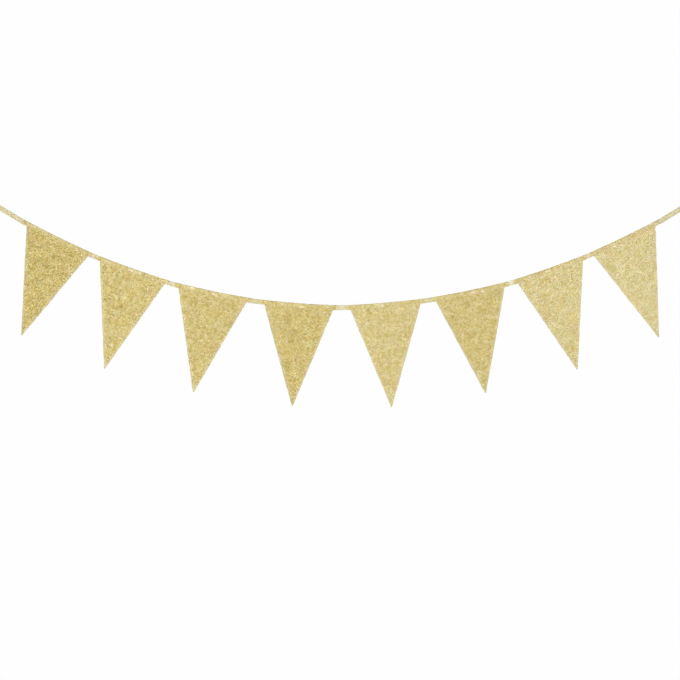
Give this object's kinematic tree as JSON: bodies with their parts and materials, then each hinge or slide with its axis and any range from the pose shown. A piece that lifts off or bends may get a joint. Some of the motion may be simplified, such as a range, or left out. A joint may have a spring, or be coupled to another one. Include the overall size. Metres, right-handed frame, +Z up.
{
  "type": "fabric bunting",
  "caption": "Fabric bunting of long pointed glitter-cloth pennants held in a folded tape that hangs in a shallow curve from its two ends.",
  "frame": {"origin": "middle of the tape's fold, which is the bunting's top edge, at mid-length and mid-thickness", "axes": "+X along the bunting to the right as seen from the front, +Y out of the back, +Z up; the front faces -Y"},
  "size_m": [1.3681, 0.011, 0.4037],
  "materials": {
    "pennant_cloth": "pale gold glitter bonded to a woven backing",
    "tape_cloth": "pale gold glitter cloth folded lengthways"
  },
  "bodies": {
    "root": {"tape": "tape_cloth", "pennant_1": "pennant_cloth", "pennant_2": "pennant_cloth", "pennant_3": "pennant_cloth", "pennant_4": "pennant_cloth", "pennant_5": "pennant_cloth", "pennant_6": "pennant_cloth", "pennant_7": "pennant_cloth", "pennant_8": "pennant_cloth"}
  },
  "joints": []
}
